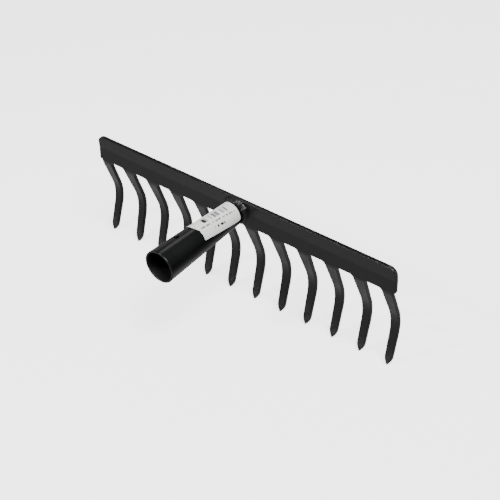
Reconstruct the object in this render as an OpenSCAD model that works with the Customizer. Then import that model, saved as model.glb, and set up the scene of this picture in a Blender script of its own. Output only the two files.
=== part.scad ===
// Garden rake head: a straight pressed steel bar with a row of curved tines, a tapered handle
// socket welded square onto its front face, and a paper label on the socket. Millimetres.
// Origin: centre of the socket's mouth. +X along the bar, +Y from the handle to the bar, +Z up.

/* [Bar] */
// Length of the bar, end to end
bar_len = 350; // [330:5:400]
// Height of the bar, from the top of the tine gaps to its top edge
bar_h = 26.2; // [24:0.2:32]
// Thickness of the plate that the bar and the tines are pressed from
plate_t = 3.9; // [3:0.1:5]
// Radius of the two top corners
corner_r = 7.3; // [3:0.1:10]
// Chamfer at the lower corner of each end
ear_chamfer = 1; // [0.5:0.1:2]
// Depth of the shallow pressed valley that runs along the front of the bar
valley_d = 0.8; // [0.2:0.1:1.2]
// Half length of the flat seat at mid bar that carries the socket
seat_half = 17; // [16:0.5:30]

/* [Tines] */
// Distance from each end of the bar to the middle of the outer tine
tine_inset = 7.6; // [7:0.1:10]
// Width of a tine at its root, without the flare
root_w = 10.8; // [9:0.1:12]
// Width of a tine just before its point
tip_w = 7.5; // [6:0.1:8.5]
// How much narrower the outer side of each outer tine is at the bar
outer_trim = 0.8; // [0.5:0.1:1.5]
// Flare added at the bar to each side of a tine that faces a gap
flare = 0.8; // [0.5:0.1:1.5]
// Height over which the flare dies away
flare_h = 28; // [20:1:35]
// Radius of the fillets at the top of each tine gap
gap_r = 3.8; // [2:0.1:5]
// Radius of the bend where a tine leaves the bar
root_bend_r = 14; // [8:1:30]
// Angle at which the upper part of a tine leans back
lean_back = 19; // [15:0.5:25]
// Length of the straight upper part of a tine
upper_len = 26; // [15:0.5:30]
// Radius of the long forward sweep of a tine
sweep_r = 42; // [30:1:80]
// Angle at which the lower part of a tine points forward
point_forward = 17; // [10:0.5:25]
// Length of the straight lower part of a tine, with its point
lower_len = 30.5; // [20:0.5:35]
// Length of the point
point_len = 8; // [5:0.1:12]
// Width left at the very tip
tip_flat = 0.8; // [0.4:0.1:2]

/* [Socket] */
// Length of the socket, mouth to bar
socket_len = 102.9; // [90:0.1:120]
// Outer radius of the mouth
mouth_r = 15.9; // [15.5:0.1:17]
// Outer radius of the root
root_r = 11.4; // [10:0.1:12]
// Radius of the straight bore just inside the mouth
bore_r = 14.3; // [13:0.1:14.4]
// Length of the straight bore
bore_len = 12; // [8:1:16]
// Wall thickness at the root
root_wall = 1.5; // [1:0.1:2]
// Height of the socket's axis above the lower edge of the bar
axis_h = 12.5; // [12:0.1:13.5]
// Radius of the handle screw's hole
screw_r = 2.5; // [1.5:0.1:3]
// Distance of the handle screw's hole from the mouth
screw_y = 28; // [18:1:40]
// How far the hole is turned from the top of the socket, towards -X
screw_turn = 15; // [0:1:30]

/* [Weld] */
// Leg of the weld bead along the socket
weld_len = 5; // [2:0.5:6]
// Leg of the weld bead on the bar
weld_w = 3; // [1.5:0.5:4]

/* [Label] */
// Distance from the mouth to the label's nearer edge
label_y = 48.5; // [40:0.5:52]
// Length of the label along the socket
label_len = 48; // [30:1:48]
// Angle from +X at which the label starts
label_start = 10; // [-10:1:30]
// Angle that the label covers
label_sweep = 150; // [60:5:180]
// Thickness of the label
label_t = 0.2; // [0.1:0.05:0.4]

/* [Hidden] */
$fn = 96;
TINES = 12;
ARC_STEP = 3.5;
bar_bottom = -axis_h;
bar_top = bar_h - axis_h;
bar_y = socket_len;
half_len = bar_len / 2;
tine_pitch = (bar_len - 2 * tine_inset) / (TINES - 1);

// Number of steps for an arc of the given angle.
function steps(angle) = max(2, ceil(abs(angle) / ARC_STEP));

// Points of an arc about c, from angle a0 to angle a1.
function arc(c, r, a0, a1) =
    let (n = steps(a1 - a0))
    [for (i = [0:n]) let (a = a0 + (a1 - a0) * i / n) c + r * [cos(a), sin(a)]];

// Outer radius of the socket at a distance y from its mouth.
function socket_r(y) = mouth_r + (root_r - mouth_r) * y / socket_len;

// One end of a straight stretch that leaves p at an angle a from straight down, towards +Y.
function along(p, a, len) = p + len * [sin(a), -cos(a)];

// Side view of a tine, as [y, z] from the bar's lower edge, for the surface that lies d behind
// its front: a root bend, a straight, a long forward sweep and a straight lower part.
root_c = [root_bend_r, 0];
sweep_in = along(root_c - root_bend_r * [cos(lean_back), sin(lean_back)], lean_back, upper_len);
sweep_c = sweep_in - sweep_r * [cos(lean_back), sin(lean_back)];
sweep_out = sweep_c + sweep_r * [cos(point_forward), -sin(point_forward)];
tine_end = along(sweep_out, -point_forward, lower_len);
tine_drop = -tine_end[1] + plate_t * sin(point_forward);

function tine_side(d) = concat(
    arc(root_c, root_bend_r - d, 180, 180 + lean_back),
    arc(sweep_c, sweep_r + d, lean_back, -point_forward),
    [tine_end + d * [cos(point_forward), -sin(point_forward)]]);

function reversed(v) = [for (i = [len(v) - 1:-1:0]) v[i]];

// Half width of a tine at a depth h below the bar, away from its fillets and its point.
function half_w(h) = (root_w + (tip_w - root_w) * h / tine_drop) / 2;

// One edge of a tine's front view, as [half width, z]: fillet and flare if inner, then the point.
function tine_edge(inner) = concat(
    inner ? [for (p = arc([gap_r, -gap_r], gap_r, 90, 180)) [half_w(0) + flare + p[0], p[1]]]
          : [[half_w(0) - outer_trim, 0]],
    inner ? [[half_w(flare_h), -flare_h]] : [],
    [for (q = [0:0.125:1])
        [max(half_w(tine_drop) * (1 - q * q), tip_flat / 2), -tine_drop + point_len * (1 - q)]]);

// Stands a profile drawn as [x, z] up in the XZ plane, t thick, with its front face at y.
module upright(y, t) translate([0, y + t, 0]) rotate([90, 0, 0]) linear_extrude(t) children();

// Draws a profile given as [y, z] as a prism along X, centred at x = 0.
module along_x(width) rotate([90, 0, 90]) linear_extrude(width, center = true) children();

// Front view of the bar: round top corners and chamfered lower corners.
module bar_outline()
    polygon(concat(
        [[-(half_len - ear_chamfer), bar_bottom], [half_len - ear_chamfer, bar_bottom],
         [half_len, bar_bottom + ear_chamfer]],
        arc([half_len - corner_r, bar_top - corner_r], corner_r, 0, 90),
        arc([-(half_len - corner_r), bar_top - corner_r], corner_r, 90, 180),
        [[-half_len, bar_bottom + ear_chamfer]]));

// Wedge along the bar on one side of the socket's seat: its edges lie at y, at the bar's top and
// bottom, and its ridge lies valley_d behind them at mid height.
module crease(side, y) {
    mid = (bar_top + bar_bottom) / 2;
    translate([side * (seat_half + half_len) / 2, 0, 0])
        along_x(half_len - seat_half)
            polygon([[y, bar_bottom], [y + valley_d, mid], [y, bar_top]]);
}

// Plate with the crease pressed into it: a valley on the front and a ridge of the same depth behind.
module back_bar() color([0.16, 0.17, 0.18]) {
    difference() {
        upright(bar_y, plate_t) bar_outline();
        for (side = [-1, 1]) crease(side, bar_y);
    }
    intersection() {
        upright(bar_y, 2 * plate_t) bar_outline();
        for (side = [-1, 1]) crease(side, bar_y + plate_t);
    }
}

// Tine number i, counted from the -X end. The outer side of an outer tine has no fillet or flare.
module tine(i) color([0.16, 0.17, 0.18])
    translate([-half_len + tine_inset + i * tine_pitch, bar_y, bar_bottom])
        intersection() {
            along_x(3 * root_w + 2 * gap_r)
                polygon(concat(tine_side(0), reversed(tine_side(plate_t))));
            upright(-2 * root_w, 8 * root_w)
                polygon(concat(
                    [for (p = tine_edge(i > 0)) [-p[0], p[1]]],
                    reversed(tine_edge(i < TINES - 1))));
        }

// Tapered tube with its mouth at the origin and its axis along +Y.
module socket() color([0.10, 0.10, 0.11]) difference() {
    rotate([-90, 0, 0]) rotate_extrude()
        polygon([[bore_r, 0], [mouth_r, 0], [root_r, socket_len],
                 [root_r - root_wall, socket_len], [bore_r, bore_len]]);
    translate([0, screw_y, 0]) rotate([0, -screw_turn, 0]) cylinder(r = screw_r, h = 2 * mouth_r);
}

// Fillet weld round the socket's root, trimmed to the height of the bar.
module weld_bead() color([0.22, 0.23, 0.24]) intersection() {
    rotate([-90, 0, 0]) rotate_extrude()
        polygon([[root_r, socket_len], [socket_r(socket_len - weld_len), socket_len - weld_len],
                 [root_r + weld_w, socket_len]]);
    translate([-half_len, 0, bar_bottom]) cube([bar_len, 2 * socket_len, bar_h]);
}

// Paper label glued round the upper side of the socket's root half.
module paper_label() color([0.85, 0.85, 0.82]) {
    near_r = socket_r(label_y);
    far_r = socket_r(label_y + label_len);
    rotate([-90, 0, 0]) rotate([0, 0, -label_start - label_sweep])
        rotate_extrude(angle = label_sweep)
            polygon([[near_r, label_y], [near_r + label_t, label_y],
                     [far_r + label_t, label_y + label_len], [far_r, label_y + label_len]]);
}

back_bar();
tine(0);  // tine_01
tine(1);  // tine_02
tine(2);  // tine_03
tine(3);  // tine_04
tine(4);  // tine_05
tine(5);  // tine_06
tine(6);  // tine_07
tine(7);  // tine_08
tine(8);  // tine_09
tine(9);  // tine_10
tine(10);  // tine_11
tine(11);  // tine_12
socket();
weld_bead();
paper_label();
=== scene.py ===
"""Looks of a garden rake head: its pressed steel head, handle socket, weld and paper label.

Sizes are in millimetres and angles in degrees, and every mesh is put into Blender in metres.
+X runs along the bar, +Y from the handle to the bar and +Z up, with the origin at the centre of
the socket's mouth. Angles round the socket start at +X and turn towards +Z.
"""
import logging
import math
from dataclasses import dataclass
from enum import Enum

import bpy
import numpy as np
from mathutils import Matrix, Vector


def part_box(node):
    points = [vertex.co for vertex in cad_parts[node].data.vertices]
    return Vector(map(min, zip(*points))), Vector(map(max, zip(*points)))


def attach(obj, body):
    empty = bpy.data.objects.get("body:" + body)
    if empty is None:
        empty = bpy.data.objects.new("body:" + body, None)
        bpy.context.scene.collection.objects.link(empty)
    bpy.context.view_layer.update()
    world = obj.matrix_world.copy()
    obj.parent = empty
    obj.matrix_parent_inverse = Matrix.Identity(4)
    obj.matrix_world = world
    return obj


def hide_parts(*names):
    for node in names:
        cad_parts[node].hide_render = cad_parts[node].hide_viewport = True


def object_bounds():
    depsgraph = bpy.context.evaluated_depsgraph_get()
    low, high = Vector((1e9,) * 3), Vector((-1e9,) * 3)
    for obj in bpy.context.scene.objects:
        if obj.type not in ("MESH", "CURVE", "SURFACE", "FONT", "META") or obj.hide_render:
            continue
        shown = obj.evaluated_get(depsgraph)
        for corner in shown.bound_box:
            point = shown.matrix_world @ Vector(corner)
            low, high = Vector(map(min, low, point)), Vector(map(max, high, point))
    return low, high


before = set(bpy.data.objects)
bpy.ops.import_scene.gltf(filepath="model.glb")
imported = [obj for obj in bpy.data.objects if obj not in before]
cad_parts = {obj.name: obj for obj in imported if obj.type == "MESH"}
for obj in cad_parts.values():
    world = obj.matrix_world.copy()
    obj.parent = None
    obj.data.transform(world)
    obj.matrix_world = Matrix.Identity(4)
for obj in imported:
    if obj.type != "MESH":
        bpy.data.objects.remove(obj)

CAD_LOW, CAD_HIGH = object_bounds()
MM = 0.001
BODY = "root"
# A length too small to divide by.
TINY = 1e-9
# Layers of finer noise in a soft, a middling and a crisp pattern.
SOFT, MIDDLING, CRISP = 1.0, 3.0, 4.0
LOG = logging.getLogger("rake_head")


class Slot(Enum):
    """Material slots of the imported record."""

    PAINT = "black_paint"
    PAPER = "label_paper"


def smoothstep(x: np.ndarray) -> np.ndarray:
    """Cubic ramp 3x^2 - 2x^3 between 0 and 1, held flat outside.

    Args:
        x: Values to ramp.

    Returns:
        The ramped values, from 0 to 1.
    """
    x = np.clip(x, 0.0, 1.0)
    return x * x * (3.0 - 2.0 * x)


def round_y(radius: np.ndarray, y: np.ndarray, degrees: np.ndarray) -> np.ndarray:
    """Points at a radius, a height y and an angle round the Y axis.

    Args:
        radius: Distance from the Y axis.
        y: Place along the Y axis.
        degrees: Angle from +X towards +Z.

    Returns:
        Points as rows of x, y, z.
    """
    angle = np.radians(degrees)
    return np.stack(np.broadcast_arrays(radius * np.cos(angle), y, radius * np.sin(angle)), axis=-1)


def box_mm(node: str) -> tuple[np.ndarray, np.ndarray]:
    """Lowest and highest corners of a CAD node, in millimetres.

    Args:
        node: Name of the CAD node.

    Returns:
        The two corners.
    """
    low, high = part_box(node)
    return np.array(low) / MM, np.array(high) / MM


@dataclass
class Sheet:
    """A flat pattern of quads, turned anticlockwise in its own (u, v) plane."""

    uv: np.ndarray
    quads: np.ndarray

    @classmethod
    def grid(cls, u: np.ndarray, v: np.ndarray, closed: bool = False) -> "Sheet":
        """Quads over a table of points whose first index follows v and second follows u.

        Args:
            u: First coordinate at each row and column.
            v: Second coordinate at each row and column.
            closed: Whether the last row joins the first one.

        Returns:
            The sheet.
        """
        rows, columns = u.shape
        index = np.arange(rows * columns).reshape(rows, columns)
        above = np.roll(index, -1, axis=0) if closed else index[1:]
        below = index if closed else index[:-1]
        quads = np.stack([below[:, :-1], below[:, 1:], above[:, 1:], above[:, :-1]], axis=-1)
        return cls(np.stack([u.ravel(), v.ravel()], axis=-1), quads.reshape(-1, 4))

    @classmethod
    def joined(cls, sheets: list["Sheet"], decimals: int = 5) -> "Sheet":
        """Several sheets as one, with the points that fall together made one point.

        Args:
            sheets: Sheets whose shared edges have the same points.
            decimals: Places to which two points agree.

        Returns:
            The joined sheet.
        """
        starts = np.cumsum([0] + [len(sheet.uv) for sheet in sheets[:-1]])
        uv = np.concatenate([sheet.uv for sheet in sheets])
        quads = np.concatenate([sheet.quads + start for sheet, start in zip(sheets, starts)])
        _, first, same = np.unique(
            np.round(uv, decimals), axis=0, return_index=True, return_inverse=True)
        return cls(uv[first], same.reshape(-1)[quads])

    def without(self, dropped: np.ndarray) -> "Sheet":
        """The sheet without some of its quads and without the points that only they used.

        Args:
            dropped: True for each quad to leave out.

        Returns:
            The smaller sheet.
        """
        kept = self.quads[~dropped]
        used, compact = np.unique(kept, return_inverse=True)
        return Sheet(self.uv[used], compact.reshape(-1, 4))

    def rim(self) -> np.ndarray:
        """Edges that only one quad uses.

        Returns:
            Rows of two point numbers, with the sheet on the left of each edge.
        """
        edges = np.stack([self.quads, np.roll(self.quads, -1, axis=1)], axis=-1).reshape(-1, 2)
        _, first, count = np.unique(
            np.sort(edges, axis=1), axis=0, return_index=True, return_counts=True)
        return edges[first[count == 1]]


@dataclass
class Shell:
    """A closed plate: a sheet, its back at some depth and the round edge between them.

    uv and depth hold each point's place, rim is 1 on the edge and 0 on the two faces, and back is
    1 on the back face.
    """

    uv: np.ndarray
    depth: np.ndarray
    rim: np.ndarray
    back: np.ndarray
    quads: np.ndarray

    @classmethod
    def rolled(cls, sheet: Sheet, thickness: float, radius: np.ndarray, period: float = 0.0,
               segments: int = 3) -> "Shell":
        """Thickens a sheet and rolls its rim outwards on quarter circles, front and back.

        A rim point moves out along its mitred normal by radius * sin(a) and back by
        radius * (1 - cos(a)) as a turns from 0 to 90 degrees, and the back edge mirrors that.

        Args:
            sheet: The front face, drawn smaller than the plate by the edge radius.
            thickness: Depth of the plate.
            radius: Edge radius at each point of the sheet.
            period: Length in v after which the sheet meets itself, or 0.
            segments: Segments in each quarter circle.

        Returns:
            The closed shell.
        """
        edges = sheet.rim()
        run = sheet.uv[edges[:, 1]] - sheet.uv[edges[:, 0]]
        if period:
            run[:, 1] -= period * np.round(run[:, 1] / period)
        out = np.stack([run[:, 1], -run[:, 0]], axis=-1)
        out /= np.linalg.norm(out, axis=1, keepdims=True)
        total = np.zeros_like(sheet.uv)
        np.add.at(total, edges[:, 0], out)
        np.add.at(total, edges[:, 1], out)
        ids = np.unique(edges)
        mitre = 2.0 * total[ids] / np.sum(total[ids] ** 2, axis=1, keepdims=True)

        turn = np.radians(np.linspace(0.0, 90.0, segments + 1))
        outward = np.concatenate([np.sin(turn), np.cos(turn)])[1:-1, None]
        inward = np.concatenate([1.0 - np.cos(turn), 1.0 - np.sin(turn)])[1:-1, None]
        behind = (np.arange(len(outward)) > segments - 1)[:, None]
        at = radius[ids]
        ring_uv = sheet.uv[ids] + mitre * (outward * at)[..., None]
        ring_depth = np.where(behind, thickness - inward * at, inward * at)

        count = len(sheet.uv)
        rings = len(outward)
        place = np.zeros(count, int)
        place[ids] = np.arange(len(ids))
        levels = [edges] + [count + k * len(ids) + place[edges] for k in range(rings)]
        levels.append(count + rings * len(ids) + edges)
        strips = [np.stack([a[:, 1], a[:, 0], b[:, 0], b[:, 1]], axis=-1)
                  for a, b in zip(levels[:-1], levels[1:])]
        back_quads = sheet.quads[:, ::-1] + count + rings * len(ids)
        edge_points = ring_depth.size
        return cls(
            uv=np.concatenate([sheet.uv, ring_uv.reshape(-1, 2), sheet.uv]),
            depth=np.concatenate([np.zeros(count), ring_depth.ravel(), np.full(count, thickness)]),
            rim=np.concatenate([np.zeros(count), np.ones(edge_points), np.zeros(count)]),
            back=np.concatenate([np.zeros(count + edge_points), np.ones(count)]),
            quads=np.concatenate([sheet.quads, *strips, back_quads]))


class Nodes:
    """A material's node tree, with short calls for the few kinds of node used here."""

    def __init__(self, name: str) -> None:
        """Starts a material.

        Args:
            name: Name of the material.
        """
        self.material = bpy.data.materials.new(name)
        self.material.use_nodes = True
        self.tree = self.material.node_tree
        self.shader = self.tree.nodes["Principled BSDF"]

    def add(self, kind: str, inputs: dict[str, object], **settings: object) -> bpy.types.Node:
        """Adds a node.

        Args:
            kind: Name of the node's type, without ShaderNode.
            inputs: Constants or sockets for its inputs, by input name.
            settings: Properties of the node.

        Returns:
            The node.
        """
        node = self.tree.nodes.new("ShaderNode" + kind)
        for key, value in settings.items():
            setattr(node, key, value)
        for key, value in inputs.items():
            self.plug(node.inputs[key], value)
        return node

    def plug(self, socket: bpy.types.NodeSocket, value: object) -> None:
        """Sets an input to a constant, or links a socket to it.

        Args:
            socket: The input.
            value: A number, a colour or an output socket.
        """
        if isinstance(value, bpy.types.NodeSocket):
            self.tree.links.new(value, socket)
        else:
            socket.default_value = value

    def place(self) -> bpy.types.NodeSocket:
        """The point's place in the object, in metres."""
        return self.add("TexCoord", {}).outputs["Object"]

    def value(self, name: str) -> bpy.types.NodeSocket:
        """The named value that the mesh carries."""
        return self.add("Attribute", {}, attribute_name=name).outputs["Fac"]

    def math(self, operation: str, *values: object) -> bpy.types.NodeSocket:
        """One step of arithmetic on the given constants or sockets.

        Args:
            operation: Name of the operation.
            values: Its operands.

        Returns:
            The result.
        """
        node = self.add("Math", {}, operation=operation)
        for socket, value in zip(node.inputs, values):
            self.plug(socket, value)
        return node.outputs[0]

    def noise(self, size: float, detail: float = 2.0) -> bpy.types.NodeSocket:
        """Soft noise on the object's own coordinates.

        Args:
            size: Size of its features in millimetres.
            detail: Number of finer layers.

        Returns:
            Noise from 0 to 1.
        """
        inputs = {"Vector": self.place(), "Scale": 1.0 / (size * MM), "Detail": detail}
        return self.add("TexNoise", inputs).outputs["Fac"]

    def ramp(self, value: bpy.types.NodeSocket, low: float, high: float, start: float, end: float
             ) -> bpy.types.NodeSocket:
        """Smoothly maps low..high onto start..end, and holds the ends.

        Args:
            value: The value to map.
            low: Value mapped to start.
            high: Value mapped to end.
            start: Result at low.
            end: Result at high.

        Returns:
            The mapped value.
        """
        inputs = {"Value": value, "From Min": low, "From Max": high, "To Min": start, "To Max": end}
        return self.add("MapRange", inputs, interpolation_type="SMOOTHSTEP").outputs["Result"]

    def blend(self, factor: bpy.types.NodeSocket, first: object, second: object
              ) -> bpy.types.NodeSocket:
        """Mixes two colours.

        Args:
            factor: 0 for the first and 1 for the second.
            first: A colour or a socket.
            second: A colour or a socket.

        Returns:
            The mixed colour.
        """
        node = self.add("Mix", {}, data_type="RGBA")
        colours = [socket for socket in node.inputs if socket.type == "RGBA"]
        self.plug(node.inputs[0], factor)
        self.plug(colours[0], first)
        self.plug(colours[1], second)
        return next(socket for socket in node.outputs if socket.type == "RGBA")

    def bump(self, height: bpy.types.NodeSocket, depth: float, strength: float,
             under: bpy.types.NodeSocket | None = None) -> bpy.types.NodeSocket:
        """Surface relief.

        Args:
            height: Height from 0 to 1.
            depth: Height of 1 in millimetres.
            strength: How strongly it shows.
            under: Relief that it lies on.

        Returns:
            The normal.
        """
        node = self.add("Bump", {"Height": height, "Distance": depth * MM, "Strength": strength})
        if under is not None:
            self.plug(node.inputs["Normal"], under)
        return node.outputs["Normal"]

    def finish(self, **inputs: object) -> bpy.types.Material:
        """Sets the shader's inputs.

        Args:
            inputs: Constants or sockets by input name, with _ for each space.

        Returns:
            The material.
        """
        for key, value in inputs.items():
            self.plug(self.shader.inputs[key.replace("_", " ")], value)
        return self.material


def grey(level: float, cool: float = 0.0) -> tuple[float, float, float, float]:
    """A grey, or a slightly cool grey, as a linear colour.

    Args:
        level: Its green.
        cool: Share by which blue is raised and red lowered.

    Returns:
        Red, green, blue and alpha.
    """
    return (level * (1.0 - cool), level, level * (1.0 + cool), 1.0)


@dataclass(frozen=True)
class Paint:
    """Sprayed black enamel: orange peel, slow waves, uneven gloss and a little dust.

    Sizes and depths are in millimetres, and gloss and matt are the least and the most roughness.
    Each band holds the noise levels between which an effect goes from none to full. The mesh says
    where the paint is on a rim, which is lighter as thinner paint and as a painted edge highlight,
    where it lies inside a tube, and where wear at the tines' points or a painted highlight at the
    bar's top corners lightens it.
    """

    name: str
    level: float = 0.003
    cool: float = 0.06
    gloss: float = 0.34
    matt: float = 0.44
    gloss_patch: float = 22.0
    gloss_band: tuple[float, float] = (0.3, 0.7)
    peel: float = 1.3
    peel_depth: float = 0.02
    peel_strength: float = 0.6
    wave: float = 14.0
    wave_depth: float = 0.12
    wave_strength: float = 0.5
    dust: float = 0.012
    dust_share: float = 0.5
    speck: float = 0.9
    speck_band: tuple[float, float] = (0.66, 0.78)
    dusty_patch: float = 38.0
    dusty_band: tuple[float, float] = (0.35, 0.7)
    # Rim lightening: partly thinner paint, partly a painted edge highlight.
    rim_thin_paint_highlight_share: float = 0.35
    rim_thin_paint_highlight_lift: float = 1.8
    rim_gloss: float = 0.04
    inner_level: float = 0.001
    inner_matt: float = 0.62
    # Colour of wear at the tines' points and of the painted corner highlight.
    wear_and_highlight_level: float = 0.05
    scuff_and_highlight: float = 2.2
    scuff_and_highlight_band: tuple[float, float] = (0.42, 0.62)

    def material(self) -> bpy.types.Material:
        """Enamel with a glossier rim, lighter as thinner paint and as a painted edge highlight,
        lighter scuffs for wear at the tines' points and for a painted corner highlight, and a dull
        inside.

        Returns:
            The material.
        """
        nodes = Nodes(self.name)
        rim = nodes.value("rim")
        inner = nodes.value("inner")
        speck = nodes.ramp(nodes.noise(self.speck, CRISP), *self.speck_band, 0.0, self.dust_share)
        dusty = nodes.ramp(nodes.noise(self.dusty_patch, MIDDLING), *self.dusty_band, 0.0, 1.0)
        film = nodes.blend(
            nodes.math("MULTIPLY", speck, dusty), grey(self.level, self.cool), grey(self.dust))
        # The rim's base colour is lifted: partly thinner paint, partly a painted edge highlight.
        film = nodes.blend(
            nodes.math("MULTIPLY", rim, self.rim_thin_paint_highlight_share), film,
            grey(self.level * self.rim_thin_paint_highlight_lift, self.cool))
        # Lighter scuffed paint: wear at the tines' points, and a painted highlight at the top
        # corners' rim.
        scuff_and_highlight = nodes.ramp(nodes.noise(self.scuff_and_highlight, CRISP), *self.scuff_and_highlight_band, 0.0, 1.0)
        film = nodes.blend(
            nodes.math("MULTIPLY", nodes.value("wear_and_corner_highlight"), scuff_and_highlight), film, grey(self.wear_and_highlight_level))
        film = nodes.blend(inner, film, grey(self.inner_level))
        rough = nodes.ramp(
            nodes.noise(self.gloss_patch, CRISP), *self.gloss_band, self.gloss, self.matt)
        rough = nodes.math("SUBTRACT", rough, nodes.math("MULTIPLY", rim, self.rim_gloss))
        rough = nodes.math("MAXIMUM", rough, nodes.math("MULTIPLY", inner, self.inner_matt))
        waves = nodes.bump(nodes.noise(self.wave, SOFT), self.wave_depth, self.wave_strength)
        peel = nodes.bump(nodes.noise(self.peel), self.peel_depth, self.peel_strength, waves)
        return nodes.finish(Base_Color=film, Roughness=rough, Normal=peel)


@dataclass(frozen=True)
class PrintBlock:
    """A block of print on the label, as shares of its length and width.

    bars is the number of equal steps that may each hold ink, or 0 for a solid block.
    """

    start: float
    end: float
    low: float
    high: float
    bars: int = 0
    ink: float = 1.0


@dataclass(frozen=True)
class Paper:
    """Coated paper with generic print: two groups of bars and two broken lines.

    Sizes and depths are in millimetres. The paper is slightly warm, and shaded slightly warmer.
    white_share is the share of a block's steps that stay white.
    """

    name: str
    level: float = 0.82
    warm: float = 0.012
    shade: float = 0.94
    shade_warm: float = 0.02
    shade_size: float = 6.0
    ink_level: float = 0.012
    white_share: float = 0.38
    roughness: float = 0.5
    relief: float = 0.5
    fibre: float = 0.35
    fibre_depth: float = 0.012
    crumple: float = 9.0
    crumple_depth: float = 0.25
    blocks: tuple[PrintBlock, ...] = (
        PrintBlock(0.20, 0.37, 0.40, 0.56, bars=11),
        PrintBlock(0.40, 0.82, 0.40, 0.58, bars=26, ink=0.75),
        PrintBlock(0.05, 0.93, 0.285, 0.33, bars=60, ink=0.8),
        PrintBlock(0.33, 0.60, 0.14, 0.20, bars=16),
    )

    def material(self) -> bpy.types.Material:
        """White paper, with ink where a block's steps are filled.

        Returns:
            The material.
        """
        nodes = Nodes(self.name)
        uv = nodes.add("UVMap", {}, uv_map="label").outputs["UV"]
        split = nodes.add("SeparateXYZ", {"Vector": uv})
        along, across = split.outputs["X"], split.outputs["Y"]
        ink = self.inked(nodes, along, across, self.blocks[0])
        for block in self.blocks[1:]:
            ink = nodes.math("MAXIMUM", ink, self.inked(nodes, along, across, block))
        paper = nodes.blend(
            nodes.noise(self.shade_size, MIDDLING), grey(self.level, -self.warm),
            grey(self.level * self.shade, -self.shade_warm))
        colour = nodes.blend(ink, paper, grey(self.ink_level))
        crumple = nodes.bump(nodes.noise(self.crumple), self.crumple_depth, self.relief)
        fibres = nodes.bump(
            nodes.noise(self.fibre, CRISP), self.fibre_depth, self.relief, crumple)
        return nodes.finish(Base_Color=colour, Roughness=self.roughness, Normal=fibres)

    def inked(self, nodes: Nodes, along: bpy.types.NodeSocket, across: bpy.types.NodeSocket,
              block: PrintBlock) -> bpy.types.NodeSocket:
        """Ink of one block: inside its four edges, and in the steps that a fixed noise picks.

        Args:
            nodes: The node tree.
            along: Share of the label's length.
            across: Share of the label's width.
            block: The block.

        Returns:
            Ink from 0 to 1.
        """
        inside = [
            nodes.math("GREATER_THAN", along, block.start),
            nodes.math("LESS_THAN", along, block.end),
            nodes.math("GREATER_THAN", across, block.low),
            nodes.math("LESS_THAN", across, block.high)]
        ink = nodes.math("MULTIPLY", inside[0], block.ink)
        for edge in inside[1:]:
            ink = nodes.math("MULTIPLY", ink, edge)
        if block.bars:
            steps = block.bars / (block.end - block.start)
            step = nodes.math("FLOOR", nodes.math("MULTIPLY", along, steps))
            pick = nodes.add("TexWhiteNoise", {"W": step}, noise_dimensions="1D").outputs["Value"]
            ink = nodes.math("MULTIPLY", ink, nodes.math("GREATER_THAN", pick, self.white_share))
        return ink


Finish = Paint | Paper


def add_piece(name: str, points: np.ndarray, quads: np.ndarray, finish: Finish,
              stands_for: list[str], values: dict[str, np.ndarray]) -> bpy.types.Object:
    """Makes a smooth mesh object of quads that rides on the frame.

    Args:
        name: Name of the piece.
        points: Rows of x, y, z in millimetres.
        quads: Rows of four point numbers, anticlockwise from outside.
        finish: What the piece is finished with.
        stands_for: CAD nodes that the piece replaces.
        values: Named values, one for each point.

    Returns:
        The object.
    """
    mesh = bpy.data.meshes.new(name)
    mesh.vertices.add(len(points))
    mesh.vertices.foreach_set("co", (points * MM).astype(np.float32).ravel())
    mesh.loops.add(quads.size)
    mesh.loops.foreach_set("vertex_index", quads.astype(np.int32).ravel())
    mesh.polygons.add(len(quads))
    mesh.polygons.foreach_set("loop_start", np.arange(0, quads.size, 4, dtype=np.int32))
    mesh.update(calc_edges=True)
    mesh.polygons.foreach_set("use_smooth", np.ones(len(quads), bool))
    for key, value in values.items():
        attribute = mesh.attributes.new(key, "FLOAT", "POINT")
        attribute.data.foreach_set("value", value.astype(np.float32))
    mesh.materials.append(finish.material())
    piece = bpy.data.objects.new(name, mesh)
    bpy.context.scene.collection.objects.link(piece)
    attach(piece, BODY)
    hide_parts(*stands_for)
    LOG.info("%s: %d points, %d faces", name, len(points), len(quads))
    return piece


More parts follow.
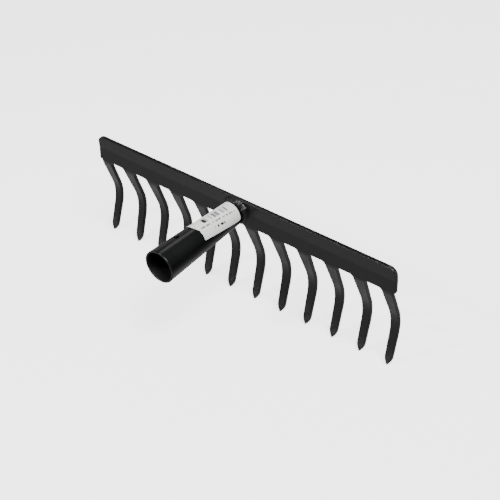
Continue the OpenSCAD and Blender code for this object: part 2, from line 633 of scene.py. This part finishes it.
@dataclass
class RakeHead:
    """The pressed head: the bar and its tines as one sheet of steel, bent, creased and rolled.

    seat is where the flat seat for the socket ends along the bar, and sway how far each tine's end
    stands to the side. across holds the shares of a tine's width at which its columns lie. Wear
    starts worn_from below the bar and grows over worn_over. At a top corner a painted highlight
    lies on the rim, and it ends corner_highlight_reach corner radii away from where the straight
    edges would meet.
    """

    finish: Paint
    thickness: float = 3.9
    edge_r: float = 0.5
    edge_share: float = 0.4
    corner_r: float = 7.3
    ear_chamfer: float = 1.0
    valley_depth: float = 0.8
    valley_soft: float = 0.5
    valley_rows: float = 2.0
    seat: tuple[float, float] = (-13.5, 18.0)
    seat_fade: float = 3.0
    root_w: float = 10.8
    tip_w: float = 7.5
    outer_trim: float = 0.8
    flare: float = 0.8
    flare_h: float = 28.0
    gap_r: float = 3.8
    bend_r: float = 14.0
    lean_back: float = 19.0
    upper_len: float = 26.0
    sweep_r: float = 42.0
    point_forward: float = 17.0
    lower_len: float = 30.5
    point_len: float = 8.4
    tip_half: float = 0.4
    sway: tuple[float, ...] = (-1.9, 1.4, 0.2, -0.3, 0.3, -0.2, -0.4, 0.1, -0.5, -0.5, -0.3, -0.5)
    sway_power: float = 1.5
    across: tuple[float, ...] = (0.0, 0.07, 0.16, 0.28, 0.42, 0.58, 0.72, 0.84, 0.93, 1.0)
    gap_columns: int = 8
    path_points: int = 900
    corner_rows: int = 9
    upper_rows: int = 4
    crease_rows: int = 13
    lower_rows: int = 8
    fillet_rows: int = 8
    shaft_rows: int = 48
    point_rows: int = 10
    shoulder: float = 0.02
    worn_from: float = 62.0
    worn_over: float = 18.0
    point_wear: float = 0.5
    corner_highlight_reach: float = 1.5

    def __post_init__(self) -> None:
        """Takes the bar's place and the tines' centres from the frame."""
        low, high = box_mm("back_bar")
        self.front = low[1]
        self.half_len = high[0]
        self.drop = low[2]
        self.bar_h = high[2] - low[2]
        second, last_but_one = (np.mean(box_mm(node), axis=0)[0] for node in ("tine_02", "tine_11"))
        count = len(self.sway)
        pitch = (last_but_one - second) / (count - 3)
        self.centres = second + pitch * (np.arange(count) - 1)
        self.run = self.path()

    def path(self) -> dict[str, np.ndarray]:
        """Side path of the sheet below the bar.

        The heading, measured from straight down towards +Y, turns at an even rate round each bend
        and stays the same along each straight, and the path is the running sum of its steps.

        Returns:
            Length, heading, y and z at close steps.
        """
        lean, point = math.radians(self.lean_back), math.radians(self.point_forward)
        lengths = np.cumsum([
            0.0, self.bend_r * lean, self.upper_len, self.sweep_r * (lean + point), self.lower_len])
        s = np.linspace(0.0, lengths[-1], self.path_points)
        heading = np.interp(s, lengths, [0.0, lean, lean, -point, -point])
        middle = (heading[1:] + heading[:-1]) / 2.0
        step = np.diff(s)
        y = np.concatenate([[0.0], np.cumsum(step * np.sin(middle))])
        z = -np.concatenate([[0.0], np.cumsum(step * np.cos(middle))])
        return {"s": s, "heading": heading, "y": y, "z": z}

    def side_half(self, s: np.ndarray) -> np.ndarray:
        """Half width of a tine at a length s below the bar, without its flare and fillets.

        The width tapers evenly down to the point, and there closes to the tip as W (1 - q^2).

        Args:
            s: Length below the bar's lower edge.

        Returns:
            The half width.
        """
        shaft = self.run["s"][-1] - self.point_len
        half = (self.root_w + (self.tip_w - self.root_w) * np.clip(s / shaft, 0.0, 1.0)) / 2.0
        q = np.clip((s - shaft) / self.point_len, 0.0, 1.0)
        return np.maximum(half * (1.0 - q * q), self.tip_half)

    def inner_half(self, s: np.ndarray) -> np.ndarray:
        """Half width on a side that faces a gap, drawn smaller by the edge radius.

        The flare dies away evenly below the fillet, and the fillet is a quarter circle.

        Args:
            s: Length below the bar's lower edge.

        Returns:
            The half width.
        """
        flare = self.flare * np.clip((self.flare_h - s) / (self.flare_h - self.gap_r), 0.0, 1.0)
        outline_r = self.gap_r + self.edge_r
        inside = np.clip((self.gap_r - s) / outline_r, 0.0, 1.0)
        fillet = self.half_span() - outline_r * np.sqrt(1.0 - inside ** 2)
        return np.where(s < self.gap_r, fillet, self.side_half(s) + flare - self.edge_at(s))

    def outer_half(self, s: np.ndarray) -> np.ndarray:
        """Half width on the outer side of an outer tine, drawn smaller by the edge radius.

        The side is trimmed at the bar, less and less towards the point, and above it the bar's own
        end takes over.

        Args:
            s: Length below the bar's lower edge.

        Returns:
            The half width.
        """
        shaft = self.run["s"][-1] - self.point_len
        trim = self.outer_trim * np.clip(1.0 - s / shaft, 0.0, 1.0)
        side = self.side_half(s) - trim - self.edge_at(s)
        margin = self.half_len - self.centres[-1]
        return np.where(s > -self.edge_r, side, self.end_x(-s) - self.half_len + margin)

    def half_span(self) -> float:
        """Distance from a tine's centre to where its fillet meets the bar's lower edge."""
        return float(self.side_half(np.array(self.gap_r))) + self.flare + self.gap_r

    def edge_at(self, s: np.ndarray) -> np.ndarray:
        """Edge radius at a length s: smaller where the point is thin."""
        return np.minimum(self.edge_r, self.edge_share * self.side_half(s))

    def end_x(self, z: np.ndarray) -> np.ndarray:
        """Place along the bar of its end, drawn smaller by the edge radius, at a height z.

        It is the least of the upright end and the lower chamfer, and the corner's circle above.

        Args:
            z: Height above the bar's lower edge.

        Returns:
            Distance from mid bar.
        """
        corner = self.bar_h - self.corner_r
        chamfer = self.half_len - self.ear_chamfer + z - self.edge_r * math.sqrt(2.0)
        up = np.clip((z - corner) / (self.corner_r - self.edge_r), 0.0, 1.0)
        arc = (self.corner_r - self.edge_r) * np.sqrt(1.0 - up ** 2)
        return np.minimum(self.half_len - self.corner_r + arc, chamfer)

    def bar_rows(self) -> np.ndarray:
        """Heights of the bar's rows: even angles round the corner, and closest at the crease.

        Returns:
            Heights above the bar's lower edge, from the top down.
        """
        corner = self.bar_h - self.corner_r
        turn = np.radians(np.linspace(90.0, 0.0, self.corner_rows))
        rounded = corner + (self.corner_r - self.edge_r) * np.sin(turn)
        upper, lower = self.bar_h / 2.0 + self.valley_rows, self.bar_h / 2.0 - self.valley_rows
        chamfer = self.ear_chamfer + self.edge_r * (math.sqrt(2.0) - 1.0)
        return np.concatenate([
            rounded, np.linspace(corner, upper, self.upper_rows)[1:-1],
            np.linspace(upper, lower, self.crease_rows),
            np.linspace(lower, chamfer, self.lower_rows)[1:], [self.edge_r]])

    def tine_rows(self) -> np.ndarray:
        """Lengths of a tine's rows: even angles round the fillet, then even, then closing up.

        Returns:
            Lengths below the bar's lower edge, from the bar down.
        """
        end = self.run["s"][-1]
        turn = np.radians(np.linspace(0.0, 90.0, self.fillet_rows)[1:])
        fillet = self.gap_r - (self.gap_r + self.edge_r) * np.cos(turn)
        shaft = np.linspace(self.gap_r, end - self.point_len, self.shaft_rows)[1:-1]
        closing = np.sin(np.radians(np.linspace(0.0, 90.0, self.point_rows)))
        point = end - self.point_len + self.point_len * closing
        point[-1] = end - self.edge_at(np.array([end]))[0]
        return np.concatenate([[self.shoulder - self.edge_r], fillet, shaft, np.sort(point)])

    def flat_pattern(self) -> Sheet:
        """The head laid flat: u along the bar, and v up from the bar's lower edge.

        Each tine is a ruled strip from its left side to its right side, which starts at the bar's
        top edge, and each gap is a strip of the bar alone.

        Returns:
            The sheet.
        """
        bar = -self.bar_rows()
        tine = self.tine_rows()
        s = np.concatenate([bar, tine])
        half_span = self.half_span()
        inner = np.where(s <= -self.edge_r, half_span, self.inner_half(s))
        outer = self.outer_half(s)
        across = np.array(self.across)
        strips = []
        for number, centre in enumerate(self.centres):
            left = centre - (outer if number == 0 else inner)
            right = centre + (outer if number == len(self.centres) - 1 else inner)
            u = left[:, None] + (right - left)[:, None] * across
            strips.append(Sheet.grid(u[::-1], np.repeat(-s[::-1, None], len(across), axis=1)))
        share = np.linspace(0.0, 1.0, self.gap_columns + 1)
        for left_centre, right_centre in zip(self.centres[:-1], self.centres[1:]):
            row = left_centre + half_span + (right_centre - left_centre - 2.0 * half_span) * share
            v = np.repeat(-bar[::-1, None], len(row), axis=1)
            strips.append(Sheet.grid(np.repeat(row[None, :], len(bar), axis=0), v))
        return Sheet.joined(strips)

    def valley(self, x: np.ndarray, z: np.ndarray) -> np.ndarray:
        """Depth of the crease: a soft V over the bar's height that fades at the seat and below.

        Args:
            x: Place along the bar.
            z: Height above the bar's lower edge.

        Returns:
            How far the sheet is pressed back.
        """
        half = self.bar_h / 2.0
        away = np.sqrt((z - half) ** 2 + self.valley_soft ** 2)
        depth = self.valley_depth * np.clip(1.0 - away / half, 0.0, 1.0)
        left = smoothstep((self.seat[0] - x) / self.seat_fade + 0.5)
        right = smoothstep((x - self.seat[1]) / self.seat_fade + 0.5)
        return depth * (left + right)

    def bent(self, shell: Shell) -> np.ndarray:
        """Bends the flat shell along the side path: each point lies its depth behind the path.

        A tine leans to its side by its sway times a power of its share of the length.

        Args:
            shell: The flat shell.

        Returns:
            Points as rows of x, y, z.
        """
        x, v = shell.uv.T
        s = np.maximum(-v, 0.0)
        end = self.run["s"][-1]
        heading, y, z = (
            np.interp(s, self.run["s"], self.run[key]) for key in ("heading", "y", "z"))
        cos, sin = np.cos(heading), np.sin(heading)
        nearest = np.argmin(np.abs(x[:, None] - self.centres[None, :]), axis=1)
        lean = np.array(self.sway)[nearest] * (s / end) ** self.sway_power
        beyond = np.maximum(s - end, 0.0)
        y = self.front + self.valley(x, v) + y + shell.depth * cos + beyond * sin
        z = self.drop + z + np.maximum(v, 0.0) + shell.depth * sin - beyond * cos
        return np.stack([x + lean, y, z], axis=-1)

    def wear_and_corner_highlight(self, points: np.ndarray, rim: np.ndarray) -> np.ndarray:
        """Lightening of the paint: wear at the tines' points, and a painted highlight on the rim
        round the bar's top corners.

        Args:
            points: Rows of x, y, z.
            rim: 1 on the rolled edge.

        Returns:
            Wear and painted highlight from 0 to 1 at each point.
        """
        x, _, z = points.T
        low = smoothstep((self.drop - z - self.worn_from) / self.worn_over)
        # Painted highlight: the rim near each top corner is lightened where a glint would be.
        away = np.hypot(np.abs(x) - self.half_len, z - self.drop - self.bar_h)
        corner = smoothstep(self.corner_highlight_reach - away / self.corner_r)
        return np.maximum(self.point_wear * low, rim * corner)

    def build(self) -> bpy.types.Object:
        """Makes the head and dresses it.

        Returns:
            The piece.
        """
        sheet = self.flat_pattern()
        shell = Shell.rolled(sheet, self.thickness, self.edge_at(np.maximum(-sheet.uv[:, 1], 0.0)))
        nodes = ["back_bar"] + [f"tine_{number + 1:02d}" for number in range(len(self.centres))]
        points = self.bent(shell)
        values = {"rim": shell.rim, "wear_and_corner_highlight": self.wear_and_corner_highlight(points, shell.rim)}
        return add_piece("rake_head", points, shell.quads, self.finish, nodes, values)


@dataclass
class Socket:
    """The tapered tube that takes the handle, with a screw hole through its upper wall.

    hole_cells and fade_cells count the mesh's cells from the hole's middle to its edge, and from
    there to where the cells are square again. end_gap is the least gap at each end, in cells.
    """

    finish: Paint
    root_r: float = 11.4
    bore_r: float = 14.3
    bore_len: float = 12.0
    root_wall: float = 1.5
    lip_r: float = 0.45
    screw_r: float = 2.5
    screw_y: float = 28.0
    screw_angle: float = 105.0
    hole_cells: int = 3
    fade_cells: int = 12
    end_gap: float = 0.4
    flat_wall: float = 1.45

    def __post_init__(self) -> None:
        """Takes the socket's length and mouth from the frame."""
        low, high = box_mm("socket")
        self.length = high[1]
        self.mouth_r = high[0]

    def radius(self, y: np.ndarray) -> np.ndarray:
        """Outer radius at a distance y from the mouth: an even taper."""
        return self.mouth_r + (self.root_r - self.mouth_r) * y / self.length

    def wall(self, y: np.ndarray) -> np.ndarray:
        """Wall thickness: the outer radius less a straight bore, with an even taper beyond it.

        Args:
            y: Distance from the mouth.

        Returns:
            The thickness.
        """
        bore = np.interp(y, [0.0, self.bore_len, self.length],
                         [self.bore_r, self.bore_r, self.root_r - self.root_wall])
        return self.radius(y) - bore

    def sheet(self) -> tuple[Sheet, float, float]:
        """The tube's wall laid flat, with the square of cells at the screw hole made a round hole.

        Cells on a square ring round the hole move onto a circle of the same half size, and the
        move fades over a few more cells.

        Returns:
            The sheet, the radius at which its v is measured and its length round the tube.
        """
        hole = self.screw_r + self.lip_r
        cell = hole / self.hole_cells
        base = float(self.radius(np.array(self.screw_y)))
        turns = round(2.0 * math.pi * base / cell)
        period = 2.0 * math.pi * base
        before = int((self.screw_y - self.lip_r) / cell - self.end_gap)
        after = int((self.length - self.lip_r - self.screw_y) / cell - self.end_gap)
        columns = np.arange(-before, after + 1)
        row = np.arange(turns)
        row = np.where(row > turns // 2, row - turns, row)
        u = np.concatenate([
            [self.lip_r], self.screw_y + cell * columns, [self.length - self.lip_r]])
        columns = np.concatenate([[-before - 1], columns, [after + 1]])
        ring = np.maximum(np.abs(columns)[None, :], np.abs(row)[:, None]) / self.hole_cells
        du = np.broadcast_to((u - self.screw_y)[None, :], ring.shape)
        dv = np.broadcast_to((row * period / turns)[:, None], ring.shape)
        away = np.maximum(np.hypot(du, dv), TINY)
        square = np.maximum(np.abs(du), np.abs(dv))
        fade = smoothstep((ring * self.hole_cells - self.hole_cells) / self.fade_cells)
        scale = np.where(away > TINY, square / away + (1.0 - square / away) * fade, 1.0)
        whole = Sheet.grid(self.screw_y + du * scale, dv * scale, closed=True)
        inside = np.all(ring.ravel()[whole.quads] <= 1.0, axis=1)
        return whole.without(inside), base, period

    def build(self) -> bpy.types.Object:
        """Makes the tube and dresses it.

        The wall is rolled flat at one thickness, and its depth then scaled to the wall at each y.

        Returns:
            The piece.
        """
        sheet, base, period = self.sheet()
        shell = Shell.rolled(sheet, self.flat_wall, np.full(len(sheet.uv), self.lip_r), period)
        y = shell.uv[:, 0]
        degrees = self.screw_angle + np.degrees(shell.uv[:, 1] / base)
        depth = self.wall(y) * shell.depth / self.flat_wall
        points = round_y(self.radius(y) - depth, y, degrees)
        values = {"rim": shell.rim, "inner": shell.back}
        return add_piece(
            "handle_socket", points, shell.quads, self.finish, ["socket"], values)


@dataclass
class Weld:
    """The bead round the socket's root: overlapping ripples with a few larger lumps.

    Each lump is its angle, its half width in degrees and its height, which is negative for a
    hollow. A lump grows by stretch times its height along the socket. The ripples are unevenly
    spaced: their phase swings by drift radians, drifts times round the bead. room_above and
    room_below are how far the bead may pass the bar's edges.
    """

    finish: Paint
    socket: Socket
    sunk: float = 0.6
    hidden: float = 0.45
    on_bar: float = 3.0
    on_socket: float = 4.2
    fullness: float = 1.5
    ripples: int = 34
    ripple: float = 0.22
    drift: float = 1.3
    drifts: float = 3.0
    stretch: float = 1.1
    lumps: tuple[tuple[float, float, float], ...] = (
        (84.0, 13.0, 1.7), (58.0, 6.0, 0.6), (31.0, 7.0, 1.0), (106.0, 8.0, 0.9), (124.0, 7.0, 0.6),
        (150.0, 14.0, 0.6), (-30.0, 16.0, -0.5), (215.0, 15.0, 0.4))
    room_above: float = 0.5
    room_below: float = 0.2
    room_power: float = 4.0
    least_rise: float = 0.05
    around: int = 288
    section: int = 28

    def build(self) -> bpy.types.Object:
        """Makes the bead as a closed ring and dresses it.

        Round its section, the distance from a point sunk in the metal is a superellipse whose two
        outer legs change along the bead and whose hidden legs stay short. The leg on the bar is the
        soft least of the bead's own and the room that the bar leaves.

        Returns:
            The piece.
        """
        bar_low, bar_high = box_mm("back_bar")
        turn = np.linspace(0.0, 360.0, self.around, endpoint=False)[:, None]
        psi = np.linspace(0.0, 360.0, self.section, endpoint=False)[None, :]
        swell = sum(size * np.exp(-(((turn - at + 180.0) % 360.0 - 180.0) / width) ** 2)
                    for at, width, size in self.lumps)
        drift = self.drift * np.sin(np.radians(self.drifts * turn))
        phase = np.radians(turn * self.ripples) + drift + np.radians(psi)
        wavy = self.ripple * (np.abs(np.sin(phase / 2.0)) - 0.5)
        inside = self.socket.root_r - self.sunk
        upward = np.sin(np.radians(turn))
        height = np.where(
            upward > 0.0, bar_high[2] + self.room_above, -bar_low[2] + self.room_below)
        room = height / np.maximum(np.abs(upward), self.least_rise) - inside
        own = self.on_bar + self.sunk + swell
        least = (own ** -self.room_power + room ** -self.room_power) ** (-1.0 / self.room_power)
        radial = least + wavy
        axial = self.on_socket + self.stretch * swell + wavy
        cos, sin = np.cos(np.radians(psi)), np.sin(np.radians(psi))
        radial = np.where(cos > 0.0, radial, self.hidden)
        axial = np.where(sin > 0.0, axial, self.hidden)
        power = np.where((cos > 0.0) & (sin > 0.0), self.fullness, 2.0)
        reach = (np.abs(cos / radial) ** power + np.abs(sin / axial) ** power) ** (-1.0 / power)
        y = bar_low[1] + self.hidden - reach * sin
        points = round_y(inside + reach * cos, y, np.broadcast_to(turn, reach.shape)).reshape(-1, 3)
        index = np.arange(reach.size).reshape(reach.shape)
        ahead, up = np.roll(index, -1, axis=0), np.roll(index, -1, axis=1)
        quads = np.stack([index, ahead, np.roll(ahead, -1, axis=1), up], axis=-1).reshape(-1, 4)
        return add_piece("weld", points, quads, self.finish, ["weld_bead"], {})


@dataclass
class Label:
    """The paper label wrapped skew round the socket, with a loose flap at its mouth end."""

    finish: Paper
    socket: Socket
    length: float = 48.0
    width: float = 36.0
    corner_r: float = 2.6
    mid_y: float = 72.5
    mid_angle: float = 91.6
    skew: float = 4.4
    thickness: float = 0.14
    edge_share: float = 0.25
    glue: float = 0.03
    flap: float = 3.8
    flap_from: float = 10.7
    flap_to: float = 28.6
    flap_power: float = 0.7
    lift: float = 1.0
    lift_back: float = 9.0
    rows: int = 73
    columns: int = 97

    def sheet(self) -> Sheet:
        """The label laid flat: u along it from the mouth end, v round it from its lower edge.

        The root end has two corners rounded on quarter circles, and the mouth end is cut square,
        with a flap that stands out beyond it.

        Returns:
            The sheet.
        """
        v = self.width * np.linspace(0.0, 1.0, self.rows)[:, None]
        inset = np.maximum(self.corner_r - np.minimum(v, self.width - v), 0.0)
        end = self.length - self.corner_r + np.sqrt(self.corner_r ** 2 - inset ** 2)
        start = -self.flap * self.peeled(v)
        u = start + (end - start) * np.linspace(0.0, 1.0, self.columns)[None, :]
        return Sheet.grid(u, np.broadcast_to(v, u.shape))

    def peeled(self, v: np.ndarray) -> np.ndarray:
        """How far the flap stands out at v, from 0 to 1: a power of the sine over the flap."""
        share = np.clip((v - self.flap_from) / (self.flap_to - self.flap_from), 0.0, 1.0)
        return np.abs(np.sin(math.pi * share)) ** self.flap_power

    def raised(self, u: np.ndarray, v: np.ndarray) -> np.ndarray:
        """Height of the paper off the tube: the flap's share of the lift, dying away along u."""
        away = np.clip(1.0 - (u + self.flap) / self.lift_back, 0.0, 1.0)
        return self.lift * self.peeled(v) * away ** 2

    def build(self) -> bpy.types.Object:
        """Makes the label, wraps it on the tube and dresses it.

        Returns:
            The piece.
        """
        sheet = self.sheet()
        edge_r = np.full(len(sheet.uv), self.edge_share * self.thickness)
        shell = Shell.rolled(sheet, self.thickness, edge_r)
        u, v = shell.uv.T
        skew = math.radians(self.skew)
        du, dv = u - self.length / 2.0, v - self.width / 2.0
        y = self.mid_y + du * math.cos(skew) + dv * math.sin(skew)
        round_it = dv * math.cos(skew) - du * math.sin(skew)
        ground = self.socket.radius(y)
        degrees = self.mid_angle + np.degrees(round_it / ground)
        height = self.glue + self.thickness - shell.depth + self.raised(u, v)
        points = round_y(ground + height, y, degrees)
        piece = add_piece(
            "socket_label", points, shell.quads, self.finish, ["paper_label"], {})
        layer = piece.data.uv_layers.new(name="label")
        share = np.stack([u / self.length, v / self.width], axis=-1)[shell.quads.ravel()]
        layer.data.foreach_set("uv", share.astype(np.float32).ravel())
        return piece


@dataclass(frozen=True)
class Softbox:
    """A square area light that faces a point, placed by its direction from that point.

    Its distance and size are in metres and its power in watts.
    """

    name: str
    towards: tuple[float, float, float]
    away: float
    size: float
    power: float

    def build(self, aim: Vector) -> None:
        """Adds the light.

        Args:
            aim: The point that it faces, in metres.
        """
        lamp = bpy.data.lights.new(self.name, "AREA")
        lamp.size = self.size
        lamp.energy = self.power
        light = bpy.data.objects.new(self.name, lamp)
        direction = Vector(self.towards).normalized()
        light.location = aim + direction * self.away
        light.rotation_mode = "QUATERNION"
        light.rotation_quaternion = direction.to_track_quat("Z", "Y")
        light.visible_camera = False
        bpy.context.scene.collection.objects.link(light)


@dataclass
class Studio:
    """Pale floor, soft light from all round and a few softboxes.

    Each stop of the sky holds how far a direction lies towards the bright side, from -1 to 1, and
    how bright the sky is there, as a share of the brightest. The floor's half width is in metres.
    """

    floor_half: float = 40.0
    floor_glow: float = 2.4
    floor_level: float = 0.8
    floor_matt: float = 0.9
    bright_side: tuple[float, float, float] = (-0.5, -0.1, -0.86)
    brightest: float = 1.2
    sky_stops: tuple[tuple[float, float], ...] = (
        (-1.0, 0.12), (-0.32, 0.07), (-0.16, 0.05), (0.0, 0.20), (0.2, 0.34), (0.5, 0.52),
        (0.78, 0.36), (0.86, 0.43), (0.94, 0.58), (1.0, 0.68))
    softboxes: tuple[Softbox, ...] = (
        Softbox("streak", (-0.39, 0.456, 0.80), 0.274, 0.06, 0.024),
        Softbox("key", (0.45, -0.12, 0.88), 2.0, 1.0, 66.0),
        Softbox("edge_glint", (-0.31, -0.63, 0.62), 1.0, 0.12, 5.5),
        Softbox("rear_fill", (-0.1, 0.95, -0.25), 1.6, 1.2, 5.0),
    )

    def floor(self) -> None:
        """Makes the floor: a wide plane at the object's lowest point.

        It mostly glows, so shadows stay weak, and the object neither reflects it nor is lit by it.
        """
        z = CAD_LOW.z
        half = self.floor_half
        corners = [(-half, -half, z), (half, -half, z), (half, half, z), (-half, half, z)]
        mesh = bpy.data.meshes.new("floor")
        mesh.from_pydata(corners, [], [(0, 1, 2, 3)])
        mesh.materials.append(Nodes("pale_floor").finish(
            Base_Color=grey(self.floor_level), Roughness=self.floor_matt,
            Emission_Color=grey(1.0), Emission_Strength=self.floor_glow))
        floor = bpy.data.objects.new("floor", mesh)
        floor.visible_glossy = False
        floor.visible_diffuse = False
        bpy.context.scene.collection.objects.link(floor)

    def sky(self) -> None:
        """Lights the scene from all round, by the dot product of direction and bright side."""
        world = bpy.data.worlds.new("studio")
        world.use_nodes = True
        tree = world.node_tree
        background = tree.nodes["Background"]
        direction = tree.nodes.new("ShaderNodeTexCoord").outputs["Generated"]
        towards = tree.nodes.new("ShaderNodeVectorMath")
        towards.operation = "DOT_PRODUCT"
        towards.inputs[1].default_value = Vector(self.bright_side).normalized()
        share = tree.nodes.new("ShaderNodeMapRange")
        share.inputs["From Min"].default_value = -1.0
        ramp = tree.nodes.new("ShaderNodeValToRGB")
        stops = ramp.color_ramp.elements
        for place, level in self.sky_stops[1:-1]:
            stops.new((place + 1.0) / 2.0).color = grey(level)
        stops[0].color, stops[-1].color = grey(self.sky_stops[0][1]), grey(self.sky_stops[-1][1])
        background.inputs["Strength"].default_value = self.brightest
        tree.links.new(direction, towards.inputs[0])
        tree.links.new(towards.outputs["Value"], share.inputs["Value"])
        tree.links.new(share.outputs["Result"], ramp.inputs["Fac"])
        tree.links.new(ramp.outputs["Color"], background.inputs["Color"])
        bpy.context.scene.world = world

    def build(self) -> None:
        """Makes the floor, the sky and the softboxes."""
        self.floor()
        self.sky()
        aim = (CAD_LOW + CAD_HIGH) / 2.0
        for softbox in self.softboxes:
            softbox.build(aim)
        LOG.info("studio: floor and %d softboxes", len(self.softboxes))


@dataclass(frozen=True)
class View:
    """The camera, by its angles round a target point, in millimetres and degrees."""

    target: tuple[float, float, float] = (14.945, 101.837, -37.783)
    distance: float = 1277.04
    azimuth: float = 41.893
    elevation: float = 37.673
    roll: float = -3.315
    lens: float = 100.575

    def build(self) -> None:
        """Adds the camera: it backs off from the target along its own axis, then rolls."""
        turn, rise = math.radians(self.azimuth), math.radians(self.elevation)
        back = Vector((
            math.sin(turn) * math.cos(rise), -math.cos(turn) * math.cos(rise), math.sin(rise)))
        level = Vector((0.0, 0.0, 1.0)).cross(back).normalized()
        roll = math.radians(self.roll)
        right = level * math.cos(roll) + back.cross(level) * math.sin(roll)
        matrix = Matrix((right, back.cross(right), back)).transposed().to_4x4()
        matrix.translation = (Vector(self.target) + back * self.distance) * MM
        data = bpy.data.cameras.new("camera")
        data.lens = self.lens
        camera = bpy.data.objects.new("camera", data)
        camera.matrix_world = matrix
        bpy.context.scene.collection.objects.link(camera)
        bpy.context.scene.camera = camera


def main() -> None:
    """Builds the camera, the object's four pieces and the studio."""
    View().build()
    enamel = Paint("black_enamel")
    gloss = Paint(
        "socket_enamel", level=0.004, gloss=0.21, matt=0.29, peel_depth=0.012, wave_depth=0.06)
    fused = Paint(
        "weld_enamel", gloss=0.36, matt=0.52, peel=0.9, peel_depth=0.08, wave=2.8, wave_depth=0.8)
    RakeHead(enamel).build()
    socket = Socket(gloss)
    socket.build()
    Weld(fused, socket).build()
    Label(Paper("label_paper"), socket).build()
    Studio().build()


if __name__ == "__main__":
    logging.basicConfig(level=logging.INFO, format="%(message)s")
    main()
